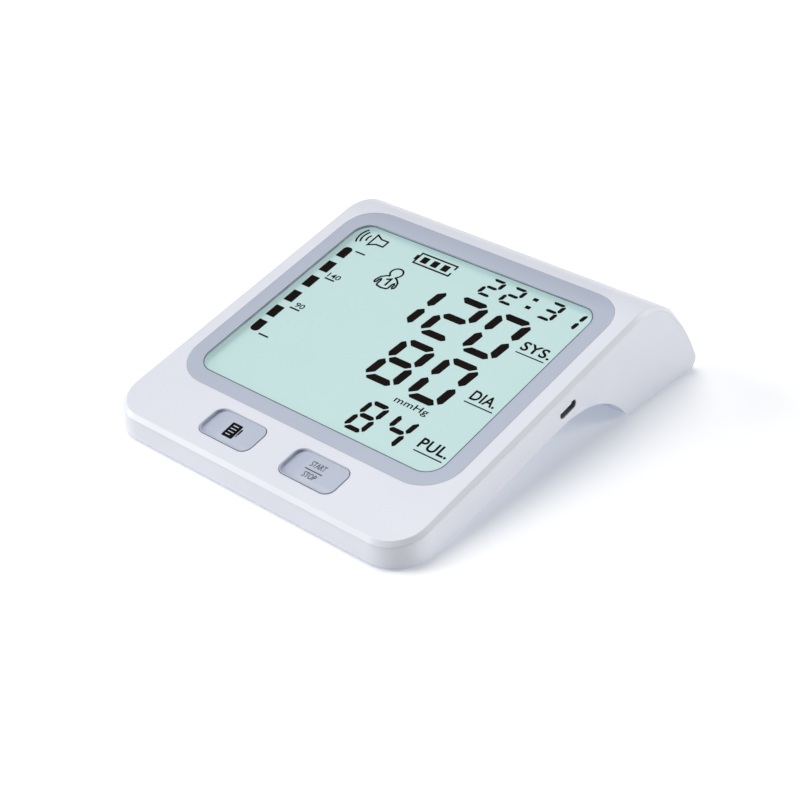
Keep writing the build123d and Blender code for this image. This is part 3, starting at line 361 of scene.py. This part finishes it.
iron = metal("iron", colour(70, 70, 74), 0.6)
copper = metal("copper_core", colour(184, 110, 66), 0.35)
port_steel = metal("port_steel", colour(92, 94, 100), 0.4)
cell = metal("cell_jacket", colour(66, 72, 88), 0.32)

# Clear window: nearly all see-through, with a faint sheen and hairline wipe marks.
lens = Material("clear_lens", colour(22, 24, 26), roughness=0.04, Alpha=0.02, IOR=1.49)
lens.vary_roughness(12, share=0.5)
lens.grain(3.0, strength=0.02)

# Reflective display: pale mint, faintly uneven, with a fine polariser grain. The window's depth
# shades it, so a weak glow on top of the base colour is painted light that lifts this shade.
MINT, MINT_EDGE, MINT_PAINTED_GLOW = colour(127, 146, 146), colour(124, 144, 143), colour(198, 228, 226)
lcd = Material("lcd_glass", MINT, roughness=0.4)
lcd.mottle(30, MINT, MINT_EDGE).glow(MINT_PAINTED_GLOW, strength=0.62)
lcd.vary_roughness(2.0, share=0.15)
lcd.grain(0.12, strength=0.1, distance_mm=0.01)

ink = printing("lcd_segment", colour(26, 17, 15), 6)
print_black = printing("print_black", colour(16, 15, 16), 2)
print_grey = printing("print_grey", colour(96, 102, 104), 2)
bead_grey = printing("bead_grey", colour(206, 210, 222), 8)
# The next grey is painted shade, for the line round the window's opening.
painted_edge_shade = printing("painted_edge_shade", colour(112, 124, 128), 3)
print_light = printing("print_light", colour(206, 210, 220), 2)

FINISHES = {
    "top_cover": shell, "lower_housing": housing, "battery_door": housing,
    "display_bezel": bezel, "air_socket": bezel, "display_lens": lens, "lcd_panel": lcd,
    "light_guide": guide, "memory_button": button, "start_button": button,
    "main_board": board, "cuff_tube": silicone, "pump_tube": silicone, "sensor_tube": silicone,
    "lcd_contact_strip": silicone, "pump_foam": foam, "rubber_feet": rubber,
    "charging_port_shell": port_steel, "charging_port_tongue": tongue,
    "pump_diaphragm": rubber, "pump_magnet": iron, "pump_rotor": copper, "battery_cells": cell,
}
SLOT_FINISHES = {
    "steel": steel, "nickel": nickel, "black_epoxy": epoxy, "dark_plastic": dark,
}
for entry in frame["record"]["subparts"]:
    name = entry["node"]
    finish = FINISHES.get(name) or SLOT_FINISHES[entry["material_slot"]]
    slots = NODES[name].data.materials
    for index in range(len(slots)):
        slots[index] = finish.material

# ---------------------------------------------------------------- display
display = Face("lcd_panel")
SLANT = 0.088  # lean of the digits, across per height
DIGITS = {  # segments lit, as on any seven-segment display
    "0": "abcdef", "1": "bc", "2": "abged", "3": "abgcd", "4": "fgbc", "8": "abcdefg",
}
# Outlines of the segments of a large upright digit, from its left edge at half height.
DIGIT_WIDE, DIGIT_TALL = 15.6, 24.5
CORNER = 0.35
TOP = ((2.3, 11.2), (3.3, 12.2), (12.1, 12.2), (13.4, 11.0), (11.5, 9.05), (4.5, 9.05))
MIDDLE = ((2.6, 0.0), (4.1, 1.6), (11.5, 1.6), (13.1, 0.0), (11.5, -1.6), (4.1, -1.6))
SIDE = ((1.3, 10.25), (3.65, 8.1), (3.65, 2.5), (1.65, 0.8), (0.1, 2.5), (0.1, 9.0))
# Each segment's outline, and whether it is mirrored left to right and top to bottom.
SEGMENTS = {
    "a": (TOP, False, False), "d": (TOP, False, True), "g": (MIDDLE, False, False),
    "f": (SIDE, False, False), "e": (SIDE, False, True), "b": (SIDE, True, False),
    "c": (SIDE, True, True),
}


MIDDLE_S = 80.1  # the glass's middle, up the slope from the front wall


def up(s):
    """Height on the glass of a distance up the slope from the front wall."""
    return s - MIDDLE_S


def raised(points):
    """The same points, their distances up the slope turned into heights on the glass."""
    return [(x, up(s)) for x, s in points]


def print_on_glass(marks, name):
    """Puts dark marks on the display glass."""
    marks.place("lcd_" + name, display, "housing", "dark_plastic", ink.material, PRINT_LIFT)


def digit(marks, figure, left, middle, wide, tall):
    """One leaning seven-segment digit, from its left edge at half height."""
    across, along = wide / DIGIT_WIDE, tall / DIGIT_TALL
    for key in DIGITS[figure]:
        outline, mirrored, upended = SEGMENTS[key]
        points = []
        for x, t in outline:
            x = (DIGIT_WIDE - x if mirrored else x) * across
            t = (-t if upended else t) * along
            points.append((left + x + t * SLANT, middle + t))
        marks.fill(rounded(points, CORNER * across))


LARGE = (DIGIT_WIDE, DIGIT_TALL)
READINGS = (  # name, middle, digit size, figures with their left edges
    ("systolic", 101.0, LARGE, (("1", -17.3), ("2", 2.1), ("0", 21.4))),
    ("diastolic", 72.5, LARGE, (("8", 0.0), ("0", 19.75))),
    ("pulse", 45.0, (9.4, 15.9), (("8", 11.0), ("4", 24.5))),
    ("clock", 121.8, (7.0, 10.4), (("2", 7.55), ("2", 17.25), ("3", 34.5), ("1", 44.05))),
)
COLON_X, COLON_S, COLON_WIDE, COLON_TALL = 28.25, (118.6, 123.45), 2.1, 1.65
for name, middle, (wide, tall), figures in READINGS:
    marks = Print()
    for figure, left in figures:
        digit(marks, figure, left, up(middle), wide, tall)
    if name == "clock":
        for low in COLON_S:
            marks.fill(block(COLON_X, COLON_X + COLON_WIDE, up(low), up(low + COLON_TALL)))
    print_on_glass(marks, name)

# Scale beside the readings: six bars, the outer two with a rounded end, and four ticks.
BAR_X0, BAR_X1, BAR_TALL, BAR_PITCH, BAR_TOP, BAR_R = -54.35, -50.25, 6.4, 10.0, 114.3, 1.7
BARS = 6
LAST_BAR_RISE = 0.7  # the last bar stands this much closer to its neighbour
TICKS, TICK_X0, TICK_X1, TICK_HALF = (113.5, 95.4, 75.6, 58.4), -48.9, -44.1, 0.36
SCALE_WEIGHT = 0.008
SOFT = 0.2  # corner radius of a short line
scale = Print()
for i in range(BARS):
    high = up(BAR_TOP - i * BAR_PITCH + (LAST_BAR_RISE if i == BARS - 1 else 0.0))
    low = high - BAR_TALL
    if i == 0:
        scale.fill([(BAR_X0, low), (BAR_X1, low), (BAR_X1, high - BAR_R)]
                   + arc((BAR_X1 - BAR_R, high - BAR_R), BAR_R, 0, 90)
                   + arc((BAR_X0 + BAR_R, high - BAR_R), BAR_R, 90, 180))
    elif i == BARS - 1:
        scale.fill([(BAR_X1, high), (BAR_X0, high)]
                   + arc((BAR_X0 + BAR_R, low + BAR_R), BAR_R, 180, 270)
                   + arc((BAR_X1 - BAR_R, low + BAR_R), BAR_R, 270, 360))
    else:
        scale.fill(block(BAR_X0, BAR_X1, low, high))
for s in TICKS:
    scale.fill(block(TICK_X0, TICK_X1, up(s) - TICK_HALF, up(s) + TICK_HALF, SOFT))
scale.write("140", -48.8, -43.0, up(96.4), up(98.9), SCALE_WEIGHT)
scale.write("90", -47.9, -43.7, up(76.7), up(79.2), SCALE_WEIGHT)
print_on_glass(scale, "scale")

LABELS = (  # text, left, right, baseline and top
    ("SYS.", 40.0, 52.5, 99.7, 104.4), ("DIA.", 40.3, 50.9, 70.3, 75.1),
    ("PUL.", 39.6, 52.0, 42.8, 47.6),
)
LABEL_WEIGHT, LABEL_SPACING = 0.02, 1.07
RULE_X0, RULE_X1, RULE_LOW, RULE_HIGH = 39.8, 52.0, 1.95, 1.45  # line below a label
UNIT_WEIGHT, UNIT_SPACING = 0.008, 1.05
labels = Print()
for text, x0, x1, low, high in LABELS:
    labels.write(text, x0, x1, up(low), up(high), LABEL_WEIGHT, LABEL_SPACING)
    labels.fill(block(RULE_X0, RULE_X1, up(low - RULE_LOW), up(low - RULE_HIGH), SOFT))
labels.write("mmHg", 18.5, 33.2, up(55.9), up(58.7), UNIT_WEIGHT, UNIT_SPACING)
print_on_glass(labels, "labels")

LINE = 0.75  # width of the icons' lines
icons = Print()
# Sounding horn: its voice is on.
HORN = ((-47.6, 119.0), (-47.6, 125.8), (-44.7, 124.2), (-41.2, 124.2), (-41.2, 120.75),
        (-44.7, 120.75))
WAVE_CENTRE = (-46.6, up(122.4))
WAVES = ((3.6, 30), (5.9, 32), (7.6, 33))  # radius, and degrees to each side
icons.stroke(raised(HORN), LINE, closed=True)
for radius, spread in WAVES:
    icons.stroke(arc(WAVE_CENTRE, radius, 180 - spread, 180 + spread), LINE)
# Battery with three cells.
CASE = ((-7.8, 123.2), (-7.8, 125.4), (-24.8, 125.4), (-24.8, 119.3), (-7.8, 119.3),
        (-7.8, 121.2))
CELL_LEFTS, CELL_WIDE, CELL_LOW, CELL_HIGH = (-22.8, -17.85, -12.9), 2.95, 120.6, 124.05
icons.stroke(raised(CASE), LINE)
icons.fill(block(-26.1, -24.9, up(121.0), up(123.9)))
for left in CELL_LEFTS:
    icons.fill(block(left, left + CELL_WIDE, up(CELL_LOW), up(CELL_HIGH)))
# User one: head, shoulders and arms in outline.
USER_X, HEAD_S, HEAD_R, HEAD_ARC = -25.95, 111.0, 2.6, (-62, 242)
HALF_BODY = (
    (1.15, 108.65), (2.6, 108.0), (4.2, 106.5), (4.8, 104.6), (4.85, 103.6), (4.3, 103.0),
    (3.75, 103.6), (3.7, 105.0), (3.2, 105.7), (2.75, 105.0), (2.75, 102.6), (2.3, 101.9),
    (0.0, 101.5),
)
ONE, ONE_LINE = ((-27.2, 106.3), (-25.4, 107.4), (-25.4, 103.2)), 1.1 * LINE
icons.stroke(arc((USER_X, up(HEAD_S)), HEAD_R, *HEAD_ARC), LINE)
for side in (-1, 1):
    icons.stroke(raised([(USER_X + side * x, s) for x, s in HALF_BODY]), LINE)
icons.stroke(raised(ONE), ONE_LINE)
print_on_glass(icons, "icons")

# ---------------------------------------------------------------- frame's bead, painted shade at the window
FIT = 0.15  # between the frame and its pocket in the cover, mm
BEAD_DEPTH, BEAD_WIDE = 0.06, 0.9 * FIT
EDGE_WIDE, EDGE_LIFT = 0.4, 0.02
SAME = 0.01  # points closer than this are one, mm
BAND = 2.5  # less than the width of the frame's face, mm


def outline(points):
    """Convex outline of flat points, with none twice."""
    loop = [points[i] for i in convex_hull_2d(points)]
    return [p for i, p in enumerate(loop) if (p - loop[i - 1]).length > SAME]


def off_ring(point):
    """Distance from the outline of the frame's flat part."""
    distances = []
    for i, end in enumerate(ring):
        start = ring[i - 1]
        along = end - start
        share = min(1.0, max(0.0, (point - start).dot(along) / along.length_squared))
        distances.append((start + along * share - point).length)
    return min(distances)


# Only the frame's flat part: at the back it rolls down with the cover.
frame_face = Face("display_bezel")
flat = [Vector((v.co.x / MM - frame_face.middle, (v.co.dot(UP) - frame_face.centre) / MM))
        for v in NODES["display_bezel"].data.vertices
        if frame_face.high - v.co.dot(OUT) < SAME * MM]
ring = outline(flat)
roll = max(range(len(ring)), key=lambda i: (ring[i] + ring[i - 1]).y)
ring = ring[roll:] + ring[:roll]  # so that the gap at the roll lies between its ends

# A bead of adhesive fills the fit between the frame and its pocket.
grown = []
for i, corner in enumerate(ring):
    along = (ring[(i + 1) % len(ring)] - ring[i - 1]).normalized()
    grown.append(corner + Vector((along.y, -along.x)) * FIT / 2)
grown[0] = ring[0] + Vector((FIT / 2, 0))
grown[-1] = ring[-1] - Vector((FIT / 2, 0))
bead = Print()
bead.stroke(grown, BEAD_WIDE)
bead.place("frame_bead", frame_face, "housing", "grey_button", bead_grey.material, -BEAD_DEPTH)

# A grey line round the frame's opening: painted shade where the frame's inner edge
# drops to the window.
lens_back = max(v.co.dot(UP) for v in NODES["display_lens"].data.vertices)
lens_back = (lens_back - frame_face.centre) / MM
inner = [p for p in flat if off_ring(p) > BAND and p.y < lens_back + 2 * FIT]
edge = Print()
edge.stroke(outline(inner), EDGE_WIDE, closed=True)
edge.place("window_edge_painted_shade", frame_face, "housing", "dark_plastic", painted_edge_shade.material, EDGE_LIFT)

# ---------------------------------------------------------------- marks on the buttons
PAD_DEPTH = 0.3  # of a button's flat pad below its rim, which is its highest part
OVERPRINT = 0.04  # how far the light lines stand above the dark page
PAGE, PAGE_R = ((-2.15, -3.75), (2.65, -3.75), (2.4, 3.0), (-2.4, 3.0)), 0.45
PENCIL, PENCIL_R = ((2.95, -1.1), (3.6, -1.1), (3.5, 1.7), (2.85, 1.7)), 0.15
POINT = ((3.0, -1.35), (3.3, -2.4), (3.55, -1.35))
LINES = ((1.75, 1.3), (0.35, 1.4), (-1.05, 1.45), (-2.45, 0.9))  # height and right end
LINES_X0, LINES_HALF, LINES_R = -1.2, 0.19, 0.1
memory_face = Face("memory_button", PAD_DEPTH)
note = Print()
note.fill(rounded(PAGE, PAGE_R))
note.fill(rounded(PENCIL, PENCIL_R))
note.fill(list(POINT))
note.place("memory_mark", memory_face, "memory_button_body", "dark_plastic",
           print_black.material, PRINT_LIFT)
lines = Print()
for t, right in LINES:
    lines.fill(block(LINES_X0, right, t - LINES_HALF, t + LINES_HALF, LINES_R))
lines.place("memory_lines", memory_face, "memory_button_body", "grey_button",
            print_light.material, PRINT_LIFT + OVERPRINT)

words = Print()
words.write("START", -3.3, 3.2, 1.2, 3.6)
words.write("STOP", -2.6, 2.8, -3.8, -1.4)
words.fill(block(-3.9, 3.7, -0.5, -0.08, LINES_R))
words.place("start_mark", Face("start_button", PAD_DEPTH), "start_button_body", "dark_plastic",
            print_grey.material, PRINT_LIFT)

# ---------------------------------------------------------------- valve spring
# The spring gets a mesh of its own.
spring = NODES["valve_spring"]
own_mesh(spring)

# ---------------------------------------------------------------- floor, light and camera
REACH = 6.0  # from the floor's middle to its sides, m
floor_mesh = bpy.data.meshes.new("floor")
floor_mesh.from_pydata(
    [(-REACH, -REACH, 0), (REACH, -REACH, 0), (REACH, REACH, 0), (-REACH, REACH, 0)],
    [], [(0, 1, 2, 3)],
)
floor = bpy.data.objects.new("floor", floor_mesh)
bpy.context.collection.objects.link(floor)
# It glows a little, like a light table, so that shadows on it stay pale and cool.
FLOOR, FLOOR_GLOW = (0.93, 0.905, 0.86, 1.0), (0.17, 0.195, 0.24, 1.0)
floor_material = Material("floor", FLOOR, roughness=0.9, Specular_IOR_Level=0.0)
floor_material.tint(300, share=0.01).glow(FLOOR_GLOW, strength=1.0)
floor_mesh.materials.append(floor_material.material)

SKY, SKY_STRENGTH = (0.90, 0.95, 1.0, 1.0), 0.05
world = bpy.data.worlds.new("studio")
bpy.context.scene.world = world
world.use_nodes = True
background = world.node_tree.nodes["Background"]
background.inputs["Color"].default_value = SKY
background.inputs["Strength"].default_value = SKY_STRENGTH

SUNS = (  # name, compass direction and height in degrees, strength, spread in degrees, colour
    ("top_light", 180, 73, 0.64, 44, (0.97, 0.98, 1.0)),
    ("left_light", 217, 22, 0.60, 40, (1.0, 1.0, 1.0)),
    ("right_back_light", 50, 15, 0.56, 28, (1.0, 1.0, 1.0)),
)
for name, azimuth, elevation, strength, spread, tone in SUNS:
    data = bpy.data.lights.new(name, "SUN")
    data.energy = strength * math.pi  # strength 1 turns a white face towards it fully white
    data.angle = math.radians(spread)
    data.color = tone
    lamp = bpy.data.objects.new(name, data)
    a, e = math.radians(azimuth), math.radians(elevation)
    towards = Vector((math.cos(a) * math.cos(e), math.sin(a) * math.cos(e), math.sin(e)))
    lamp.rotation_euler = towards.to_track_quat("Z", "Y").to_euler()
    bpy.context.collection.objects.link(lamp)

FOCAL_MM, SENSOR_MM = 76.4, 36.0
CAMERA_AT = (0.3425, -0.4051, 0.3339)
CAMERA_AZIMUTH, CAMERA_ELEVATION = 40.6, 32.3  # degrees; it looks down by its elevation
camera_data = bpy.data.cameras.new("camera")
camera_data.lens = FOCAL_MM
camera_data.sensor_width = SENSOR_MM
camera = bpy.data.objects.new("camera", camera_data)
camera.location = CAMERA_AT
camera.rotation_euler = (math.radians(90 - CAMERA_ELEVATION), 0, math.radians(CAMERA_AZIMUTH))
bpy.context.collection.objects.link(camera)
bpy.context.scene.camera = camera
bpy.context.scene.view_settings.view_transform = "Standard"
